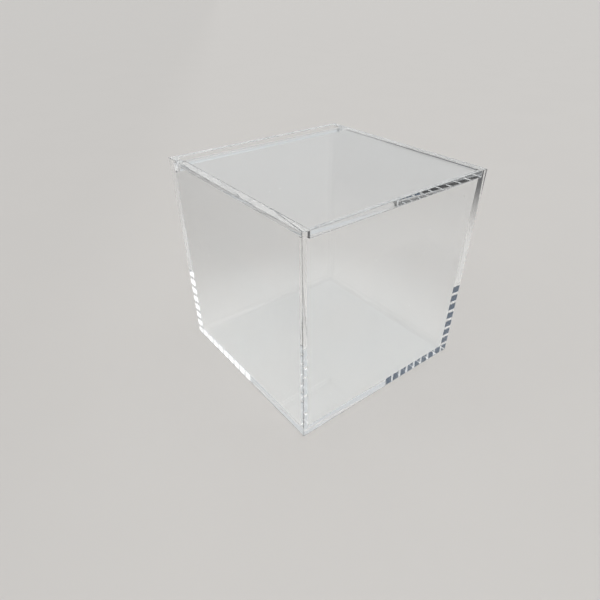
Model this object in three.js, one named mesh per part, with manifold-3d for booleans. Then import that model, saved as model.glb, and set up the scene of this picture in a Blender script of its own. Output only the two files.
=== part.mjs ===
// Clear acrylic display box with a hinged lid.
// Five sheets are cemented into the case: a base, two side panels, a front panel and a rear panel.
// The lid lies between the side panels and over the front panel. Its rear edge is cemented to a clear
// rod, and the rod's ends turn in holes drilled through the side panels.
// Millimetres, +Z up. The origin is the middle of the underside and the front faces -Y.
import * as THREE from 'three';
import { mergeVertices } from 'three/addons/utils/BufferGeometryUtils.js';
import Module from 'manifold-3d';

// Driving dimensions of the case
const BOX_WIDTH = 150;
const BOX_DEPTH = 150;
const BOX_HEIGHT = 150;
const BASE_THICKNESS = 5;
const WALL_THICKNESS = 5;
const EDGE_EASE = 0.3; // radius polished onto the exposed long edges

// Driving dimensions of the lid and its hinge
const LID_THICKNESS = 4; // a thinner sheet than the case
const ROD_DIAMETER = 6;
const ROD_END_CHAMFER = 0.4;
const ROD_COVER = 1.3; // wall left between the rod hole and the top of a side panel
const LID_STOP_ANGLE = 96; // degrees, where the raised lid leans on the rear panel's top edge

// Clearances
const ROD_HOLE_CLEARANCE = 0.2; // radial, running fit of the rod in the side panels
const ROD_SEAT_GAP = 0.2; // cement line between the rod and the lid's rear edge
const ROD_END_INSET = 0.2; // the rod's ends stop just inside the side panels' outer faces
const LID_SIDE_CLEARANCE = 0.3;
const LID_REST_GAP = 0.2; // between the closed lid and the front panel's top edge
const CUT_MARGIN = 1; // how far a cutting tool runs past what it cuts

// Roundness of curves
const EASE_STEPS = 5;
const ROD_SIDES = 48;

// Derived places
const halfWidth = BOX_WIDTH / 2;
const halfDepth = BOX_DEPTH / 2;
const innerHalfWidth = halfWidth - WALL_THICKNESS;
const innerHalfDepth = halfDepth - WALL_THICKNESS;
const rodRadius = ROD_DIAMETER / 2;
const rodHoleRadius = rodRadius + ROD_HOLE_CLEARANCE;
const lidUnderside = BOX_HEIGHT - LID_THICKNESS;
const lidHalfWidth = innerHalfWidth - LID_SIDE_CLEARANCE;

// The raised lid's outer face turns about the axis at the rod's depth below the top, so the rear
// panel stands off the axis by that depth times the tangent of half the stop angle
const rodDrop = rodHoleRadius + ROD_COVER;
const swingRoom = rodDrop * Math.tan(THREE.MathUtils.degToRad(LID_STOP_ANGLE / 2));
const rodAxisY = innerHalfDepth - swingRoom;
const rodAxisZ = BOX_HEIGHT - rodDrop;

// Exact quarter-turn frames: where a drawing's first, second and third axes go
const X = new THREE.Vector3(1, 0, 0);
const Y = new THREE.Vector3(0, 1, 0);
const Z = new THREE.Vector3(0, 0, 1);
const alongX = new THREE.Matrix4().makeBasis(Y, Z, X);
const alongY = new THREE.Matrix4().makeBasis(Z, X, Y);
const alongZ = new THREE.Matrix4();

const wasm = await Module();
wasm.setup();

// A closed geometry as a solid that can be cut
function solidFrom(geometry) {
  geometry.deleteAttribute('normal');
  geometry.deleteAttribute('uv');
  const merged = mergeVertices(geometry);
  return new wasm.Manifold(new wasm.Mesh({
    numProp: 3,
    vertProperties: new Float32Array(merged.attributes.position.array),
    triVerts: new Uint32Array(merged.index.array),
  }));
}

function geometryFrom(solid) {
  const mesh = solid.getMesh();
  const geometry = new THREE.BufferGeometry();
  geometry.setAttribute('position', new THREE.BufferAttribute(mesh.vertProperties, 3));
  geometry.setIndex(new THREE.BufferAttribute(mesh.triVerts, 1));
  geometry.computeVertexNormals();
  return geometry;
}

// A rectangle from its low to its high corner. Each corner has its own radius, in the order
// low-low, high-low, high-high and low-high, and a radius of 0 leaves it square
function easedRectangle(low, high, radii) {
  const corners = [
    { at: [low[0], low[1]], inward: [1, 1], start: Math.PI },
    { at: [high[0], low[1]], inward: [-1, 1], start: -Math.PI / 2 },
    { at: [high[0], high[1]], inward: [-1, -1], start: 0 },
    { at: [low[0], high[1]], inward: [1, -1], start: Math.PI / 2 },
  ];
  const points = corners.flatMap(({ at, inward, start }, index) => {
    const radius = radii[index];
    if (radius === 0) {
      return [new THREE.Vector2(...at)];
    }
    const centre = [at[0] + inward[0] * radius, at[1] + inward[1] * radius];
    const arc = new THREE.EllipseCurve(...centre, radius, radius, start, start + Math.PI / 2);
    return arc.getPoints(EASE_STEPS);
  });
  return new THREE.Shape(points);
}

// A drawing pulled from one place to another along the third axis of its frame
function pulled(shape, frame, from, to) {
  const geometry = new THREE.ExtrudeGeometry(shape, { depth: to - from, bevelEnabled: false });
  geometry.translate(0, 0, from);
  geometry.applyMatrix4(frame);
  return geometry;
}

// A round bar along X about the hinge axis
function hingeBar(radius, halfLength, chamfer) {
  const profile = [
    new THREE.Vector2(0, -halfLength),
    new THREE.Vector2(radius - chamfer, -halfLength),
    new THREE.Vector2(radius, chamfer - halfLength),
    new THREE.Vector2(radius, halfLength - chamfer),
    new THREE.Vector2(radius - chamfer, halfLength),
    new THREE.Vector2(0, halfLength),
  ];
  const geometry = new THREE.LatheGeometry(profile, ROD_SIDES);
  geometry.applyMatrix4(alongY);
  geometry.translate(0, rodAxisY, rodAxisZ);
  return geometry;
}

// The base carries the four walls on its upper face
function basePanel() {
  const corners = [EDGE_EASE, EDGE_EASE, EDGE_EASE, EDGE_EASE];
  const plan = easedRectangle([-halfWidth, -halfDepth], [halfWidth, halfDepth], corners);
  return pulled(plan, alongZ, 0, BASE_THICKNESS);
}

// A side panel stands on the base, runs the full depth and rises to the top beside the lid.
// Its upright outer edges and both its top edges are eased, and the rod hole goes right through
function sidePanel(side) {
  const outer = side * halfWidth;
  const inner = side * innerHalfWidth;
  const lowX = Math.min(outer, inner);
  const highX = Math.max(outer, inner);
  const leftEase = side < 0 ? EDGE_EASE : 0;
  const rightEase = side > 0 ? EDGE_EASE : 0;
  const plan = easedRectangle(
    [lowX, -halfDepth],
    [highX, halfDepth],
    [leftEase, rightEase, rightEase, leftEase],
  );
  const section = easedRectangle(
    [BASE_THICKNESS, lowX],
    [BOX_HEIGHT, highX],
    [0, EDGE_EASE, EDGE_EASE, 0],
  );
  const upright = solidFrom(pulled(plan, alongZ, BASE_THICKNESS, BOX_HEIGHT));
  const topped = solidFrom(pulled(section, alongY, -halfDepth, halfDepth));
  const drill = solidFrom(hingeBar(rodHoleRadius, halfWidth + CUT_MARGIN, 0));
  return geometryFrom(upright.intersect(topped).subtract(drill));
}

// The front panel fits between the side panels and stops under the lid
function frontPanel() {
  const section = easedRectangle(
    [-halfDepth, BASE_THICKNESS],
    [-innerHalfDepth, lidUnderside - LID_REST_GAP],
    [0, 0, EDGE_EASE, EDGE_EASE],
  );
  return pulled(section, alongX, -innerHalfWidth, innerHalfWidth);
}

// The rear panel fits between the side panels and rises to the top, where the raised lid leans on it
function rearPanel() {
  const section = easedRectangle(
    [innerHalfDepth, BASE_THICKNESS],
    [halfDepth, BOX_HEIGHT],
    [0, 0, EDGE_EASE, EDGE_EASE],
  );
  return pulled(section, alongX, -innerHalfWidth, innerHalfWidth);
}

// The lid runs from the front face to the rod, which is cemented along the square lower corner there
function lidPanel() {
  const section = easedRectangle(
    [-halfDepth, lidUnderside],
    [rodAxisY - rodRadius - ROD_SEAT_GAP, BOX_HEIGHT],
    [EDGE_EASE, 0, EDGE_EASE, EDGE_EASE],
  );
  return pulled(section, alongX, -lidHalfWidth, lidHalfWidth);
}

function hingeRod() {
  return hingeBar(rodRadius, halfWidth - ROD_END_INSET, ROD_END_CHAMFER);
}

function clearAcrylic(colour, opacity) {
  return new THREE.MeshStandardMaterial({
    color: colour,
    roughness: 0.04,
    metalness: 0,
    transparent: true,
    opacity,
  });
}

const SHEET_TINT = '#e4ecee';
const ROD_TINT = '#d3dde2';
const SHEET_OPACITY = 0.3;
const ROD_OPACITY = 0.4;

const displayBox = new THREE.Group();

function addPiece(name, geometry, material) {
  const mesh = new THREE.Mesh(geometry, material);
  mesh.name = name;
  displayBox.add(mesh);
}

addPiece('base_panel', basePanel(), clearAcrylic(SHEET_TINT, SHEET_OPACITY));
addPiece('left_side_panel', sidePanel(-1), clearAcrylic(SHEET_TINT, SHEET_OPACITY));
addPiece('right_side_panel', sidePanel(1), clearAcrylic(SHEET_TINT, SHEET_OPACITY));
addPiece('front_panel', frontPanel(), clearAcrylic(SHEET_TINT, SHEET_OPACITY));
addPiece('rear_panel', rearPanel(), clearAcrylic(SHEET_TINT, SHEET_OPACITY));
addPiece('lid_panel', lidPanel(), clearAcrylic(SHEET_TINT, SHEET_OPACITY));
addPiece('hinge_rod', hingeRod(), clearAcrylic(ROD_TINT, ROD_OPACITY));

export default displayBox;
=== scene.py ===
"""Clear acrylic display box: five cemented sheets, and a lid that turns on a clear rod."""
import math

import bmesh
import bpy
from bpy.props import FloatProperty, FloatVectorProperty, IntProperty, PointerProperty
from mathutils import Matrix, Vector


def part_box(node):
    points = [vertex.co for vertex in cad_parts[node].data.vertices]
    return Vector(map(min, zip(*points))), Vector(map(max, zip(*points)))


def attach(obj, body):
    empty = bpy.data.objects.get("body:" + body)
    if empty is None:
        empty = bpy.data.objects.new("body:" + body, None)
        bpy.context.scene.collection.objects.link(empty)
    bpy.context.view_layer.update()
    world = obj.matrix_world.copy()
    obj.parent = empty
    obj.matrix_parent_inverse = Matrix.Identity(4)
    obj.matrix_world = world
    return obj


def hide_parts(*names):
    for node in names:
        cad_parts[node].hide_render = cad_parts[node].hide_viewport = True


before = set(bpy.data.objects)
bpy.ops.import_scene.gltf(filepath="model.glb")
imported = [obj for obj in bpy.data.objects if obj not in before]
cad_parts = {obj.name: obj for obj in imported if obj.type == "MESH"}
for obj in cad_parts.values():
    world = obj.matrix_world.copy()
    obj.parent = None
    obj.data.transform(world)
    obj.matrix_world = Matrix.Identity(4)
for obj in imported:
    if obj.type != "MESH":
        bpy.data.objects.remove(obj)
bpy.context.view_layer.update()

bl_info = {
    "name": "Clear display box",
    "version": (1, 0, 0),
    "blender": (4, 5, 0),
    "location": "3D View > Sidebar > Display Box",
    "description": "Builds a clear acrylic display box with a hinged lid around its frame",
    "category": "Object",
}

# The frame's boxes, as (lowest corner, highest corner) in metres
CASE_NODES = {
    "base_sheet": "base_panel",
    "left_side_sheet": "left_side_panel",
    "right_side_sheet": "right_side_panel",
    "front_sheet": "front_panel",
    "rear_sheet": "rear_panel",
}
CASE_BOXES = {piece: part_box(node) for piece, node in CASE_NODES.items()}
LID_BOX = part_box("lid_panel")
ROD_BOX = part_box("hinge_rod")
ROD_AXIS = (ROD_BOX[0] + ROD_BOX[1]) / 2
ROD_RADIUS = (ROD_BOX[1].z - ROD_BOX[0].z) / 2

# Material slots of every sheet and of the rod
CLEAR, CEMENTED = 0, 1

# Points closer than this are one point, in metres
WELD_REACH = 0.000001

# The bevel tool's number for a round edge
ROUND_PROFILE = 0.5

# A seam stops this many eases below a wall's top
SEAM_DROP = 2

# A face that is off a neighbour by less than this share of an ease touches it
SEAM_SLACK = 0.1

# The sheets that the rod's holes go through, and how far the drill runs, in half lengths of the rod
DRILLED_SHEETS = ("left_side_sheet", "right_side_sheet")
DRILL_OVERRUN = 2

# Edges of the rod that turn by more than this stay sharp, in degrees
SHARP_ANGLE = 30

# Sides of a sheet, as (axis, sign)
LEFT, RIGHT = (0, -1), (0, 1)
FRONT, REAR = (1, -1), (1, 1)
BELOW, ABOVE = (2, -1), (2, 1)

# Edges that stay open to the air, and so are eased, as pairs of the sides that meet there
UPRIGHT_EDGES = {
    "base_sheet": [(LEFT, FRONT), (LEFT, REAR), (RIGHT, FRONT), (RIGHT, REAR)],
    "left_side_sheet": [(LEFT, FRONT), (LEFT, REAR)],
    "right_side_sheet": [(RIGHT, FRONT), (RIGHT, REAR)],
    "front_sheet": [],
    "rear_sheet": [],
}
TOP_EDGES = {
    "base_sheet": [],
    "left_side_sheet": [(LEFT, ABOVE), (RIGHT, ABOVE), (FRONT, ABOVE), (REAR, ABOVE)],
    "right_side_sheet": [(LEFT, ABOVE), (RIGHT, ABOVE), (FRONT, ABOVE), (REAR, ABOVE)],
    "front_sheet": [(FRONT, ABOVE), (REAR, ABOVE)],
    "rear_sheet": [(FRONT, ABOVE), (REAR, ABOVE)],
}
FOOT_EDGES = [(LEFT, BELOW), (RIGHT, BELOW), (FRONT, BELOW), (REAR, BELOW)]
LID_LONG_EDGES = [(FRONT, ABOVE), (FRONT, BELOW), (REAR, ABOVE), (REAR, BELOW)]
LID_LEFT_EDGES = [(LEFT, ABOVE), (LEFT, BELOW)]
LID_RIGHT_EDGES = [(RIGHT, ABOVE), (RIGHT, BELOW)]

# Marks on the acrylic: the scales of their noises per metre, and the levels between which they show
WIPE_SCALE, WIPE_DETAIL = (18, 18, 42), 5
SMEAR_LEVELS = (0.56, 0.74)
TINT_LEVELS = (0.3, 0.7)
SPECK_SCALE, SPECK_SIZE = 130, 0.045
PATCH_SCALE, PATCH_LEVEL = 37, 0.56
STROKE_SCALE = (900, 900, 14)
SCRATCH_LEVELS = (0.72, 0.8)
MARK_DETAIL = 2
MARK_STRENGTH, MARK_DEPTH = 0.02, 0.0001

# The floor, in metres: how far it runs each way, how far it lies below the box, and its mottling
FLOOR_REACH, FLOOR_DROP = 30.0, 0.0001
FLOOR_ROUGHNESS = 0.7
MOTTLE_SCALE, MOTTLE_DETAIL, MOTTLE_SHADE = 9, 4, 0.97

# The cards round the box, as ranges of azimuth from the right and of elevation in degrees
SOFT_BOX = ((-80, -54), (30, 46))
LOW_FLAG = ((134, 158), (2, 27))
HIGH_FLAG = ((134, 158), (27, 50))
CARD_DISTANCE = 1.2
CARD_STEPS = 12

# The heights on a dome of radius 1 between which the room light gives way to the ceiling light
CEILING_HEIGHTS = (0.78, 0.95)

# The camera: the width of its sensor in millimetres, and the nearest and farthest distance it sees
SENSOR_WIDTH = 36
CLIP_NEAR, CLIP_FAR = 0.01, 50

# Light runs along inside the sheets and through their seams, so it needs many more bounces than usual.
# The clamp keeps single bright dots down
LIGHT_BOUNCES = 96
SEAM_PASSES = 256
INDIRECT_CLAMP = 4


class SheetFinish(bpy.types.PropertyGroup):
    """Sizes and finish of the clear sheets and the rod"""

    tint: FloatVectorProperty(
        name="Tint",
        description="Colour that clear acrylic gives to what is seen through it",
        subtype="COLOR",
        default=(0.992, 0.997, 1.0),
        min=0,
        max=1,
    )
    depth_tint: FloatVectorProperty(
        name="Depth tint",
        description="Colour kept at each reflection inside a sheet, which builds up along its length",
        subtype="COLOR",
        default=(0.958, 0.983, 0.994),
        min=0,
        max=1,
    )
    refraction: FloatProperty(
        name="Refractive index",
        description="How strongly the acrylic bends light",
        default=1.49,
        min=1,
        max=2,
    )
    ease: FloatProperty(
        name="Eased edges",
        description="Radius on the top edges of the walls and on the lid's front and rear edges",
        default=0.00015,
        unit="LENGTH",
        min=0.00005,
        max=0.001,
    )
    upright_ease: FloatProperty(
        name="Eased uprights",
        description="Radius on the upright corners of the case",
        default=0.0004,
        unit="LENGTH",
        min=0.00005,
        max=0.001,
    )
    foot_ease: FloatProperty(
        name="Eased foot",
        description="Radius on the edges that the box stands on",
        default=0.0007,
        unit="LENGTH",
        min=0.00005,
        max=0.001,
    )
    lid_left_ease: FloatProperty(
        name="Eased lid, left end",
        description="Radius on the lid's left end, which swings up beside the left side sheet",
        default=0.00015,
        unit="LENGTH",
        min=0.00005,
        max=0.001,
    )
    lid_right_ease: FloatProperty(
        name="Eased lid, right end",
        description="Radius on the lid's right end, which swings up beside the right side sheet",
        default=0.0005,
        unit="LENGTH",
        min=0.00005,
        max=0.001,
    )
    ease_steps: IntProperty(
        name="Ease steps",
        description="Facets across an eased edge",
        default=3,
        min=1,
        max=8,
    )
    hole_clearance: FloatProperty(
        name="Hole clearance",
        description="Radial gap between the rod and its holes in the side sheets",
        default=0.0002,
        unit="LENGTH",
        min=0.00005,
        max=0.0005,
    )
    rod_sides: IntProperty(
        name="Rod sides",
        description="Facets round the rod",
        default=96,
        min=24,
        max=256,
    )
    rod_chamfer: FloatProperty(
        name="Rod chamfer",
        description="Chamfer turned onto the rod's ends",
        default=0.0004,
        unit="LENGTH",
        min=0.0001,
        max=0.001,
    )
    smear: FloatProperty(
        name="Wiping smears",
        description="Roughness of the faint smears that a cloth leaves",
        default=0.012,
        min=0,
        max=0.2,
    )
    dust: FloatProperty(
        name="Dust",
        description="Roughness of single specks of dust",
        default=0.35,
        min=0,
        max=1,
    )


class StudioLook(bpy.types.PropertyGroup):
    """The floor, the light and the camera"""

    floor_colour: FloatVectorProperty(
        name="Floor",
        description="Colour of the plain pale floor",
        subtype="COLOR",
        default=(0.605, 0.58, 0.56),
        min=0,
        max=1,
    )
    # Painted light: a paler floor colour near the box's middle, seen only by rays other than the
    # camera's own, stands in for light gathering under the box
    under_light_colour: FloatVectorProperty(
        name="Floor in the box",
        description="Colour of the floor where it shows through the box",
        subtype="COLOR",
        default=(0.70, 0.68, 0.66),
        min=0,
        max=1,
    )
    under_light_reach: FloatVectorProperty(
        name="Floor in the box, reach",
        description="Distances from the box's middle between which that colour fades out",
        size=2,
        unit="LENGTH",
        default=(0.09, 0.19),
    )
    # Painted shade: this dark colour is painted into the floor towards the left rear, standing in for a
    # dark room that the sheets mirror; the camera sees a faint share of it as a painted shadow
    shade_colour: FloatVectorProperty(
        name="Dark room",
        description="Colour of the dark room at the left rear that the box's edges mirror",
        subtype="COLOR",
        default=(0.045, 0.045, 0.05),
        min=0,
        max=1,
    )
    shade_heading: FloatProperty(
        name="Dark room heading",
        description="Direction of the dark room, in degrees from the box's right towards its rear",
        default=150.0,
    )
    shade_reach: FloatVectorProperty(
        name="Dark room reach",
        description="Distances from the box's middle at which the floor starts to darken and is dark",
        size=2,
        unit="LENGTH",
        default=(0.09, 0.29),
    )
    shade_hidden: FloatProperty(
        name="Dark room hidden",
        description="Share of that darkening that the camera doesn't see when it looks at the floor",
        default=0.95,
        min=0,
        max=1,
    )
    shade_softened: FloatProperty(
        name="Dark room softened",
        description="Share of that darkening that plain mirroring on a sheet's face leaves out",
        default=0.9,
        min=0,
        max=1,
    )
    shade_cleared: FloatProperty(
        name="Dark room cleared",
        description="Share of that darkening that is left out straight through a sheet",
        default=0.95,
        min=0,
        max=1,
    )
    sky_colour: FloatVectorProperty(
        name="Room light",
        description="Colour of the soft light from all round",
        subtype="COLOR",
        default=(0.62, 0.64, 0.65),
        min=0,
        max=1,
    )
    ceiling_colour: FloatVectorProperty(
        name="Ceiling light",
        description="Colour of the soft light from overhead",
        subtype="COLOR",
        default=(2.2, 2.19, 2.15),
        min=0,
        soft_max=3,
    )
    softbox_strength: FloatProperty(
        name="Soft box",
        description="Brightness of the soft box at the front right",
        default=1.4,
        min=0,
        max=10,
    )
    low_flag_colour: FloatVectorProperty(
        name="Low flag",
        description="Colour of the low dark card at the rear left, which draws the lid's front edge",
        subtype="COLOR",
        default=(0.012, 0.014, 0.022),
        min=0,
        max=1,
    )
    high_flag_colour: FloatVectorProperty(
        name="High flag",
        description="Colour of the higher blue card there, which draws the case's right edges",
        subtype="COLOR",
        default=(0.12, 0.20, 0.33),
        min=0,
        max=1,
    )
    eye: FloatVectorProperty(
        name="Camera",
        description="Where the camera stands",
        subtype="XYZ",
        unit="LENGTH",
        default=(-0.1978, -0.2359, 0.2470),
    )
    heading: FloatVectorProperty(
        name="Heading",
        description="Direction in which the camera looks",
        subtype="DIRECTION",
        default=(0.4858, 0.6254, -0.6107),
    )
    roll: FloatProperty(
        name="Roll",
        description="Turn of the camera about its own line of sight",
        subtype="ANGLE",
        default=-0.00417,
    )
    lens: FloatProperty(
        name="Lens",
        description="Focal length in millimetres on a sensor 36 mm wide",
        default=27.43,
        min=1,
    )
    shift: FloatVectorProperty(
        name="Shift",
        description="Sideways and upward shift of the picture, as a share of its width",
        size=2,
        default=(-0.0097, 0.051),
    )


class Wire:
    """An output socket that takes part in shader maths written as Python expressions"""

    def __init__(self, shader, socket):
        self.shader = shader
        self.socket = socket

    def _math(self, operation, left, right):
        return self.shader.node("ShaderNodeMath", {"operation": operation}, {0: left, 1: right})

    def __add__(self, other):
        return self._math("ADD", self, other)

    def __rsub__(self, other):
        return self._math("SUBTRACT", other, self)

    def __mul__(self, other):
        return self._math("MULTIPLY", self, other)

    def __rmul__(self, other):
        return self._math("MULTIPLY", other, self)

    def __gt__(self, other):
        return self._math("GREATER_THAN", self, other)

    def __lt__(self, other):
        return self._math("LESS_THAN", self, other)


class Shader:
    """A node tree that nodes are added to"""

    def __init__(self, tree):
        self.tree = tree
        self.tree.nodes.clear()

    def node(self, kind, settings=None, inputs=None, output=0):
        """Adds a node with its settings and the values or wires of its sockets"""
        made = self.tree.nodes.new(kind)
        for name, value in (settings or {}).items():
            setattr(made, name, value)
        for key, value in (inputs or {}).items():
            if isinstance(value, Wire):
                self.tree.links.new(value.socket, made.inputs[key])
            else:
                made.inputs[key].default_value = value
        return Wire(self, made.outputs[output]) if made.outputs else None

    def mix(self, share, first, second):
        """A colour between two colours, or wires of colours"""
        first, second = [c if isinstance(c, Wire) else (*c, 1) for c in (first, second)]
        inputs = {"Factor": share, 6: first, 7: second}
        return self.node("ShaderNodeMix", {"data_type": "RGBA"}, inputs, output=2)

    def noise(self, place, scale, detail):
        """Cloudy noise from 0 to 1"""
        inputs = {"Vector": place, "Scale": scale, "Detail": detail}
        return self.node("ShaderNodeTexNoise", inputs=inputs)

    def light_path(self, output):
        """What kind of ray has met the surface, or how often it was reflected"""
        return self.node("ShaderNodeLightPath", output=output)

    def ramp(self, value, low, high):
        """0 below low, 1 above high and a smooth rise between them"""
        settings = {"interpolation_type": "SMOOTHSTEP"}
        return self.node("ShaderNodeMapRange", settings, {"Value": value, 1: low, 2: high})


def new_material(name):
    material = bpy.data.materials.new(name)
    material.use_nodes = True
    return material, Shader(material.node_tree)


def clear_acrylic(finish):
    """Polished clear acrylic with faint wiping smears, hair scratches and a little dust"""
    material, shader = new_material("clear_acrylic")
    place = shader.node("ShaderNodeTexCoord", output="Object")
    wiped = shader.node("ShaderNodeMapping", inputs={"Vector": place, "Scale": WIPE_SCALE})
    cloud = shader.noise(wiped, 1, WIPE_DETAIL)
    smear = shader.ramp(cloud, *SMEAR_LEVELS)
    grit = shader.node("ShaderNodeTexVoronoi", inputs={"Vector": place, "Scale": SPECK_SCALE})
    patchy = shader.noise(place, PATCH_SCALE, MARK_DETAIL)
    dust = (grit < SPECK_SIZE) * (patchy > PATCH_LEVEL)
    stroke = shader.node("ShaderNodeMapping", inputs={"Vector": place, "Scale": STROKE_SCALE})
    hair = shader.noise(stroke, 1, MARK_DETAIL)
    scratch = shader.ramp(hair, *SCRATCH_LEVELS) * smear
    bump = shader.node(
        "ShaderNodeBump",
        inputs={"Strength": MARK_STRENGTH, "Distance": MARK_DEPTH, "Height": scratch + dust},
    )
    cooler = tuple(c * c for c in finish.tint)
    colour = shader.mix(shader.ramp(cloud, *TINT_LEVELS), finish.tint, cooler)
    skin = shader.node(
        "ShaderNodeBsdfPrincipled",
        inputs={
            "Base Color": colour,
            "Roughness": smear * finish.smear + dust * finish.dust,
            "IOR": finish.refraction,
            "Transmission Weight": 1.0,
            "Specular Tint": (*finish.depth_tint, 1),
            "Normal": bump,
        },
    )
    shader.node("ShaderNodeOutputMaterial", inputs={"Surface": skin})
    return material


def cemented_seam():
    """A face that is cemented to the next sheet: light passes it as if it weren't there"""
    material, shader = new_material("cemented_seam")
    skin = shader.node("ShaderNodeBsdfPrincipled", inputs={"Alpha": 0.0})
    shader.node("ShaderNodeOutputMaterial", inputs={"Surface": skin})
    return material


def finishes(finish):
    """The two materials of a clear piece, made once"""
    clear = bpy.data.materials.get("clear_acrylic") or clear_acrylic(finish)
    seam = bpy.data.materials.get("cemented_seam") or cemented_seam()
    return [clear, seam]


def side_of(face):
    """The side of a sheet that a flat face is on, as (axis, sign)"""
    axis = max(range(3), key=lambda a: abs(face.normal[a]))
    return axis, (1 if face.normal[axis] > 0 else -1)


def split_box(low, high, splits):
    """A closed box whose faces are split at the given stations of each axis"""
    mesh = bmesh.new()
    stations = [sorted({low[a], high[a], *splits[a]}) for a in range(3)]
    corners = {}

    def corner(place):
        if place not in corners:
            corners[place] = mesh.verts.new([stations[a][place[a]] for a in range(3)])
        return corners[place]

    for axis in range(3):
        across, along = (axis + 1) % 3, (axis + 2) % 3
        for end in (0, len(stations[axis]) - 1):
            for i in range(len(stations[across]) - 1):
                for j in range(len(stations[along]) - 1):
                    ring = []
                    for di, dj in ((0, 0), (1, 0), (1, 1), (0, 1)):
                        place = [0, 0, 0]
                        place[axis], place[across], place[along] = end, i + di, j + dj
                        ring.append(corner(tuple(place)))
                    mesh.faces.new(ring if end else ring[::-1])
    mesh.normal_update()
    return mesh


def ease_edges(mesh, eased, radius, finish):
    """Rounds the box's edges between the named pairs of sides"""
    pairs = {frozenset(pair) for pair in eased}
    edges = [
        edge for edge in mesh.edges
        if frozenset(side_of(face) for face in edge.link_faces) in pairs
    ]
    bmesh.ops.bevel(
        mesh,
        geom=edges,
        offset=radius,
        offset_type="OFFSET",
        segments=finish.ease_steps,
        profile=ROUND_PROFILE,
        affect="EDGES",
    )
    bmesh.ops.remove_doubles(mesh, verts=mesh.verts, dist=WELD_REACH)
    mesh.normal_update()


def contact_box(name, finish):
    """Where another sheet may be cemented to this one: clear of its eased top edges"""
    low, high = CASE_BOXES[name]
    if name == "base_sheet":
        return low, high
    return low, high - Vector((0, 0, SEAM_DROP * finish.ease))


def is_within(point, box, slack):
    """Whether a point lies in a box, or out of it by less than the slack"""
    low, high = box
    return all(low[a] - slack < point[a] < high[a] + slack for a in range(3))


def cemented_sheet(name, finish):
    """One sheet of the case, split and marked where its neighbours are cemented to it"""
    low, high = CASE_BOXES[name]
    neighbours = [contact_box(other, finish) for other in CASE_BOXES if other != name]
    own_contact = contact_box(name, finish)
    margin = finish.ease
    splits = [
        {
            place[axis]
            for box in (*neighbours, own_contact)
            for place in box
            if low[axis] + margin < place[axis] < high[axis] - margin
        }
        for axis in range(3)
    ]
    mesh = split_box(low, high, splits)
    ease_edges(mesh, UPRIGHT_EDGES[name], finish.upright_ease, finish)
    ease_edges(mesh, TOP_EDGES[name], finish.ease, finish)
    if name == "base_sheet":
        ease_edges(mesh, FOOT_EDGES, finish.foot_ease, finish)
    slack = SEAM_SLACK * finish.ease
    for face in mesh.faces:
        middle = face.calc_center_median()
        touches = any(is_within(middle, box, slack) for box in neighbours)
        cemented = touches and is_within(middle, own_contact, slack)
        face.material_index = CEMENTED if cemented else CLEAR
    return mesh


def turned(profile, finish):
    """A closed round piece along X about the hinge axis, from (x, radius) points"""
    mesh = bmesh.new()
    sides = finish.rod_sides
    turns = [math.tau * i / sides for i in range(sides)]
    rings = [
        [
            mesh.verts.new((x, ROD_AXIS.y + radius * math.cos(a), ROD_AXIS.z + radius * math.sin(a)))
            for a in turns
        ]
        for x, radius in profile
    ]
    for near, far in zip(rings, rings[1:]):
        for i in range(sides):
            j = (i + 1) % sides
            mesh.faces.new((near[i], near[j], far[j], far[i])).smooth = True
    mesh.faces.new(rings[0][::-1])
    mesh.faces.new(rings[-1])
    bmesh.ops.recalc_face_normals(mesh, faces=mesh.faces)
    return mesh


def add_piece(name, mesh, finish):
    """A finished mesh as an object with the clear and the cemented finish"""
    data = bpy.data.meshes.new(name)
    mesh.to_mesh(data)
    mesh.free()
    for material in finishes(finish):
        data.materials.append(material)
    piece = bpy.data.objects.new(name, data)
    bpy.context.scene.collection.objects.link(piece)
    return piece


def cut_away(piece, cutter):
    """Cuts one closed piece by another and removes the cutter"""
    cut = piece.modifiers.new("cut", "BOOLEAN")
    cut.operation = "DIFFERENCE"
    cut.solver = "EXACT"
    cut.object = cutter
    bpy.context.view_layer.update()
    evaluated = piece.evaluated_get(bpy.context.evaluated_depsgraph_get())
    cut_data = bpy.data.meshes.new_from_object(evaluated)
    welded = bmesh.new()
    welded.from_mesh(cut_data)
    bmesh.ops.remove_doubles(welded, verts=welded.verts, dist=WELD_REACH)
    welded.to_mesh(cut_data)
    welded.free()
    piece.modifiers.clear()
    plain = piece.data
    piece.data = cut_data
    piece.data.name = piece.name
    bpy.data.meshes.remove(plain)
    cutter_data = cutter.data
    bpy.data.objects.remove(cutter)
    bpy.data.meshes.remove(cutter_data)


class DISPLAYBOX_OT_case(bpy.types.Operator):
    """Builds the five cemented sheets of the case, with the rod's holes in the side sheets"""

    bl_idname = "displaybox.case"
    bl_label = "Cemented case"

    def execute(self, context):
        finish = context.scene.displaybox_finish
        for name, node in CASE_NODES.items():
            piece = add_piece(name, cemented_sheet(name, finish), finish)
            if name in DRILLED_SHEETS:
                hole_radius = ROD_RADIUS + finish.hole_clearance
                reach = DRILL_OVERRUN * ROD_BOX[1].x
                drill = turned([(-reach, hole_radius), (reach, hole_radius)], finish)
                cut_away(piece, add_piece("drill", drill, finish))
            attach(piece, "case")
            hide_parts(node)
        return {"FINISHED"}


class DISPLAYBOX_OT_lid(bpy.types.Operator):
    """Builds the lid sheet, which lies loose between the side sheets"""

    bl_idname = "displaybox.lid"
    bl_label = "Lid"

    def execute(self, context):
        finish = context.scene.displaybox_finish
        mesh = split_box(*LID_BOX, [(), (), ()])
        ease_edges(mesh, LID_RIGHT_EDGES, finish.lid_right_ease, finish)
        ease_edges(mesh, LID_LEFT_EDGES, finish.lid_left_ease, finish)
        ease_edges(mesh, LID_LONG_EDGES, finish.ease, finish)
        piece = add_piece("lid_sheet", mesh, finish)
        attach(piece, "lid")
        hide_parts("lid_panel")
        return {"FINISHED"}


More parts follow.
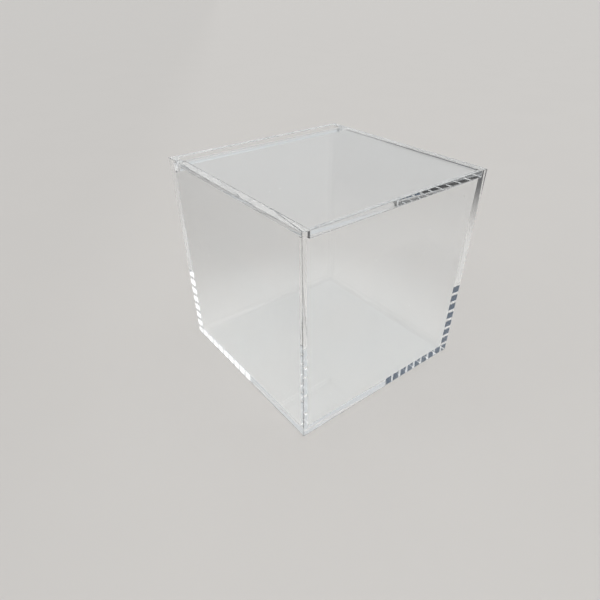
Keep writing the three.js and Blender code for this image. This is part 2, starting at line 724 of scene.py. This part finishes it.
class DISPLAYBOX_OT_rod(bpy.types.Operator):
    """Builds the clear hinge rod, with chamfered ends"""

    bl_idname = "displaybox.rod"
    bl_label = "Hinge rod"

    def execute(self, context):
        finish = context.scene.displaybox_finish
        end, chamfer = ROD_BOX[1].x, finish.rod_chamfer
        half = [(end - chamfer, ROD_RADIUS), (end, ROD_RADIUS - chamfer)]
        rod = turned([(-x, radius) for x, radius in half[::-1]] + half, finish)
        piece = add_piece("rod_clear", rod, finish)
        piece.data.set_sharp_from_angle(angle=math.radians(SHARP_ANGLE))
        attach(piece, "lid")
        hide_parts("hinge_rod")
        return {"FINISHED"}


def pale_floor(look):
    """Pale, faintly mottled matt floor, with painted light where it shows through the box. Light that
    was reflected inside the sheets meets painted shade at its left rear, a stand-in for a dark room,
    where the camera sees the floor run on"""
    material, shader = new_material("pale_floor")
    place = shader.node("ShaderNodeTexCoord", output="Object")
    mottle = shader.noise(place, MOTTLE_SCALE, MOTTLE_DETAIL)
    darker = tuple(MOTTLE_SHADE * c for c in look.floor_colour)
    pale = shader.mix(mottle, look.floor_colour, darker)
    # Rays from the camera itself, mirrored by a sheet's outer face, and straight through the sheets
    seen = shader.light_path("Is Camera Ray")
    through = shader.light_path("Is Transmission Ray")
    mirrored = (1 - through) * shader.light_path("Is Glossy Ray")
    straight = through * (shader.light_path("Glossy Depth") < 1)
    spared = look.shade_hidden * seen + look.shade_softened * mirrored + look.shade_cleared * straight
    # Painted shade: the floor's colour darkens towards the left rear, mostly for light reflected inside
    # the sheets
    turn = math.radians(look.shade_heading)
    towards = (math.cos(turn), math.sin(turn), 0)
    dot = {"operation": "DOT_PRODUCT"}
    away = shader.node("ShaderNodeVectorMath", dot, {0: place, 1: towards}, "Value")
    shade = shader.ramp(away, *look.shade_reach) * (1 - spared)
    # Painted light: rays other than the camera's own see the floor paler near the box's middle, fading
    # out over the reach
    apart = shader.node("ShaderNodeVectorMath", {"operation": "LENGTH"}, {0: place}, "Value")
    under = (1 - shader.ramp(apart, *look.under_light_reach)) * (1 - seen)
    colour = shader.mix(shade, shader.mix(under, pale, look.under_light_colour), look.shade_colour)
    skin = shader.node(
        "ShaderNodeBsdfPrincipled",
        inputs={"Base Color": colour, "Roughness": FLOOR_ROUGHNESS},
    )
    shader.node("ShaderNodeOutputMaterial", inputs={"Surface": skin})
    return material


def stage_floor(look):
    """A plain floor just under the box"""
    mesh = bmesh.new()
    ends = (-FLOOR_REACH, FLOOR_REACH)
    low, high = [[mesh.verts.new((x, y, -FLOOR_DROP)) for x in ends] for y in ends]
    mesh.faces.new((*low, *reversed(high)))
    data = bpy.data.meshes.new("floor")
    mesh.to_mesh(data)
    mesh.free()
    data.materials.append(pale_floor(look))
    floor = bpy.data.objects.new("floor", data)
    bpy.context.scene.collection.objects.link(floor)


def studio_card(name, corner, surface):
    """A curved card out of the camera's sight. corner gives its points from 0 to 1 each way"""
    mesh = bmesh.new()
    shares = [i / CARD_STEPS for i in range(CARD_STEPS + 1)]
    rows = [[mesh.verts.new(corner(up, along)) for along in shares] for up in shares]
    for low, high in zip(rows, rows[1:]):
        for j in range(CARD_STEPS):
            mesh.faces.new((low[j], high[j], high[j + 1], low[j + 1]))
    data = bpy.data.meshes.new(name)
    mesh.to_mesh(data)
    mesh.free()
    data.materials.append(surface)
    card = bpy.data.objects.new(name, data)
    card.visible_camera = False
    card.visible_diffuse = False
    card.visible_shadow = False
    bpy.context.scene.collection.objects.link(card)


def between(ends, share):
    return ends[0] + (ends[1] - ends[0]) * share


def dome_patch(azimuths, elevations):
    """Points on a dome round the box, from ranges of angles in degrees"""
    def corner(up, along):
        elevation = math.radians(between(elevations, up))
        azimuth = math.radians(between(azimuths, along))
        level = CARD_DISTANCE * math.cos(elevation)
        height = CARD_DISTANCE * math.sin(elevation)
        return level * math.cos(azimuth), level * math.sin(azimuth), height
    return corner


def cloth(name, colour):
    """Matt cloth of one colour"""
    material, shader = new_material(name)
    skin = shader.node(
        "ShaderNodeBsdfPrincipled",
        inputs={"Base Color": (*colour, 1), "Roughness": 1.0, "Specular IOR Level": 0.0},
    )
    shader.node("ShaderNodeOutputMaterial", inputs={"Surface": skin})
    return material


def lit_cloth(name, strength):
    """White cloth lit from behind"""
    material, shader = new_material(name)
    glow = shader.node("ShaderNodeEmission", inputs={"Strength": strength})
    shader.node("ShaderNodeOutputMaterial", inputs={"Surface": glow})
    return material


def stage_light(look):
    """Soft light from all round, a soft box, and two dark cards that draw the clear edges"""
    world = bpy.data.worlds.new("room_light")
    world.use_nodes = True
    bpy.context.scene.world = world
    sky = Shader(world.node_tree)
    facing = sky.node("ShaderNodeTexCoord", output="Generated")
    height = sky.node("ShaderNodeSeparateXYZ", inputs={"Vector": facing}, output="Z")
    light = sky.mix(sky.ramp(height, *CEILING_HEIGHTS), look.sky_colour, look.ceiling_colour)
    glow = sky.node("ShaderNodeBackground", inputs={"Color": light, "Strength": 1.0})
    sky.node("ShaderNodeOutputWorld", inputs={"Surface": glow})
    white = lit_cloth("soft_box_cloth", look.softbox_strength)
    black = cloth("low_flag_cloth", look.low_flag_colour)
    blue = cloth("high_flag_cloth", look.high_flag_colour)
    studio_card("soft_box", dome_patch(*SOFT_BOX), white)
    studio_card("low_flag", dome_patch(*LOW_FLAG), black)
    studio_card("high_flag", dome_patch(*HIGH_FLAG), blue)


def stage_camera(look):
    """The camera, standing where the box is seen from above over its front left corner"""
    lens = bpy.data.cameras.new("camera")
    lens.sensor_width = SENSOR_WIDTH
    lens.lens = look.lens
    lens.shift_x, lens.shift_y = look.shift
    lens.clip_start, lens.clip_end = CLIP_NEAR, CLIP_FAR
    camera = bpy.data.objects.new("camera", lens)
    facing = Vector(look.heading).to_track_quat("-Z", "Y").to_matrix()
    turn = facing @ Matrix.Rotation(look.roll, 3, "Z")
    camera.matrix_world = Matrix.Translation(look.eye) @ turn.to_4x4()
    bpy.context.scene.collection.objects.link(camera)
    bpy.context.scene.camera = camera


class DISPLAYBOX_OT_stage(bpy.types.Operator):
    """Sets the floor, the light and the camera"""

    bl_idname = "displaybox.stage"
    bl_label = "Stage"

    def execute(self, context):
        look = context.scene.displaybox_look
        stage_floor(look)
        stage_light(look)
        stage_camera(look)
        scene = context.scene
        scene.view_settings.view_transform = "Standard"
        tracing = scene.cycles
        tracing.max_bounces = LIGHT_BOUNCES
        tracing.glossy_bounces = LIGHT_BOUNCES
        tracing.transmission_bounces = LIGHT_BOUNCES
        tracing.transparent_max_bounces = SEAM_PASSES
        tracing.sample_clamp_indirect = INDIRECT_CLAMP
        tracing.blur_glossy = 0
        return {"FINISHED"}


class DISPLAYBOX_PT_sidebar(bpy.types.Panel):
    """Lists the steps that build the display box, and what can be changed"""

    bl_label = "Display Box"
    bl_idname = "DISPLAYBOX_PT_sidebar"
    bl_space_type = "VIEW_3D"
    bl_region_type = "UI"
    bl_category = "Display Box"

    def draw(self, context):
        layout = self.layout
        for step in STEPS:
            layout.operator(step.bl_idname)
        for group in (context.scene.displaybox_finish, context.scene.displaybox_look):
            box = layout.box()
            for name in group.bl_rna.properties.keys():
                if name not in ("rna_type", "name"):
                    box.prop(group, name)


STEPS = (DISPLAYBOX_OT_case, DISPLAYBOX_OT_lid, DISPLAYBOX_OT_rod, DISPLAYBOX_OT_stage)
CLASSES = (SheetFinish, StudioLook, *STEPS, DISPLAYBOX_PT_sidebar)


def register():
    for cls in CLASSES:
        bpy.utils.register_class(cls)
    bpy.types.Scene.displaybox_finish = PointerProperty(type=SheetFinish)
    bpy.types.Scene.displaybox_look = PointerProperty(type=StudioLook)


def unregister():
    del bpy.types.Scene.displaybox_look
    del bpy.types.Scene.displaybox_finish
    for cls in reversed(CLASSES):
        bpy.utils.unregister_class(cls)


def main():
    register()
    bpy.ops.displaybox.case()
    bpy.ops.displaybox.lid()
    bpy.ops.displaybox.rod()
    bpy.ops.displaybox.stage()


if __name__ == "__main__":
    main()
